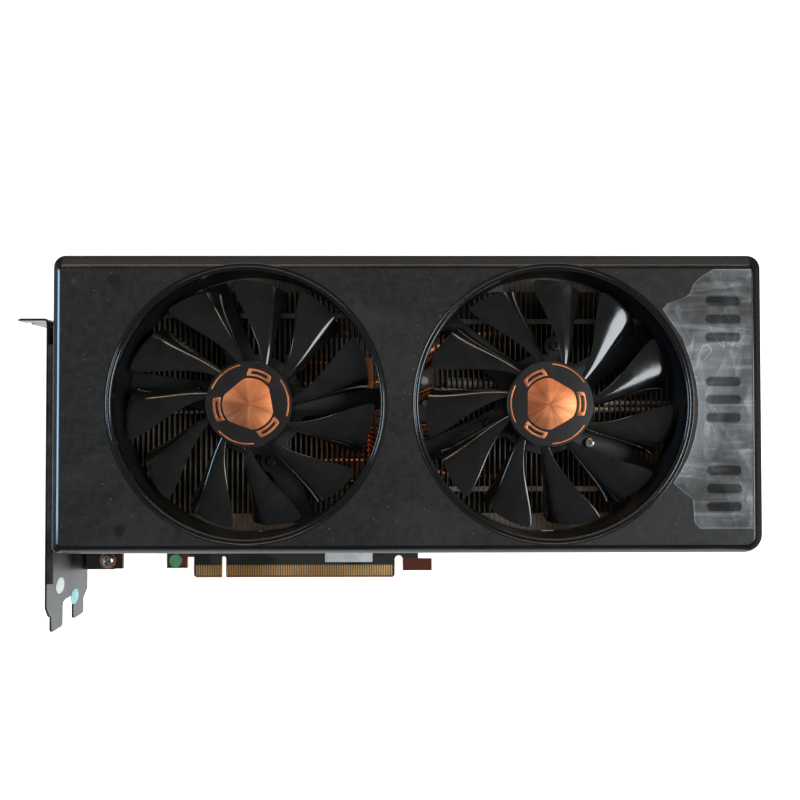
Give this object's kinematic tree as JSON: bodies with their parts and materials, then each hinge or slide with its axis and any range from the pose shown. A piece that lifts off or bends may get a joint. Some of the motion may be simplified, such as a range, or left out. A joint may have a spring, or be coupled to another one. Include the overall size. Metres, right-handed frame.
{
  "type": "graphics card",
  "caption": "Dual-fan graphics card: dark ducted shroud over finned cooler and heat pipes, black board with gold edge connector, steel slot bracket with video sockets.",
  "frame": {"origin": "on the plane the backplate lies on, under the middle of the card's bounding box", "axes": "+X along the card, away from the metal bracket; +Y away from the gold edge connector; +Z out of the fans"},
  "size_m": [0.2796, 0.1426, 0.0527],
  "materials": {
    "shroud_plastic": "satin charcoal moulding with a fine texture",
    "fan_plastic": "glossy black moulding",
    "copper": "bare copper, brushed",
    "fin_metal": "plain rolled aluminium sheet",
    "zinc_steel": "zinc plated sheet steel",
    "screw_steel": "bright nickel plated screws",
    "board": "glass-epoxy laminate under black solder mask",
    "backplate_metal": "black coated aluminium",
    "chip_resin": "moulded black resin",
    "silicon": "polished bare die",
    "nickel": "nickel plated",
    "ferrite": "moulded magnet",
    "winding": "enamelled copper windings",
    "bearing_bronze": "oil-filled sintered bronze",
    "film": "thin translucent protective film",
    "connector_plastic": "black glass-filled nylon"
  },
  "bodies": {
    "card": {"shroud": "shroud_plastic", "protective_film": "film", "backplate": "backplate_metal", "circuit_board": "board", "io_bracket": "zinc_steel", "displayport_1": "nickel", "displayport_2": "nickel", "displayport_3": "nickel", "hdmi_port": "nickel", "power_socket_8pin": "connector_plastic", "power_socket_6pin": "connector_plastic", "bios_switch_body": "connector_plastic", "gpu_package": "board", "gpu_die": "silicon", "memory_chip_1": "chip_resin", "memory_chip_2": "chip_resin", "memory_chip_3": "chip_resin", "memory_chip_4": "chip_resin", "memory_chip_5": "chip_resin", "memory_chip_6": "chip_resin", "memory_plate": "nickel", "cold_plate": "copper", "cooler_clamp": "zinc_steel", "heat_pipe_1": "copper", "clamp_screw_1": "screw_steel", "backplate_screw_1": "screw_steel", "heat_pipe_2": "copper", "clamp_screw_2": "screw_steel", "backplate_screw_2": "screw_steel", "heat_pipe_3": "copper", "clamp_screw_3": "screw_steel", "backplate_screw_3": "screw_steel", "heat_pipe_4": "copper", "clamp_screw_4": "screw_steel", "backplate_screw_4": "screw_steel", "bracket_screw": "screw_steel", "left_fin_stack": "fin_metal", "left_fan_frame": "shroud_plastic", "left_bearing": "bearing_bronze", "left_stator": "winding", "left_fan_screw_1": "screw_steel", "left_fan_screw_2": "screw_steel", "left_fan_screw_3": "screw_steel", "right_fin_stack": "fin_metal", "right_fan_frame": "shroud_plastic", "right_bearing": "bearing_bronze", "right_stator": "winding", "right_fan_screw_1": "screw_steel", "right_fan_screw_2": "screw_steel", "right_fan_screw_3": "screw_steel"},
    "left_fan": {"left_impeller": "fan_plastic", "left_hub_badge": "copper", "left_shaft": "screw_steel", "left_magnet_ring": "ferrite"},
    "right_fan": {"right_impeller": "fan_plastic", "right_hub_badge": "copper", "right_shaft": "screw_steel", "right_magnet_ring": "ferrite"},
    "mode_switch": {"bios_switch_knob": "zinc_steel"}
  },
  "joints": [
    {"name": "left_fan_spin", "type": "hinge", "parent": "card", "child": "left_fan", "pos_m": [-0.05042, 0.01602, 0.04], "axis": [0, 0, 1], "continuous": true},
    {"name": "right_fan_spin", "type": "hinge", "parent": "card", "child": "right_fan", "pos_m": [0.06199, 0.01602, 0.04], "axis": [0, 0, 1], "continuous": true},
    {"name": "bios_switch_slide", "type": "slide", "parent": "card", "child": "mode_switch", "axis": [1, 0, 0], "range_m": [0, 0.002]}
  ]
}
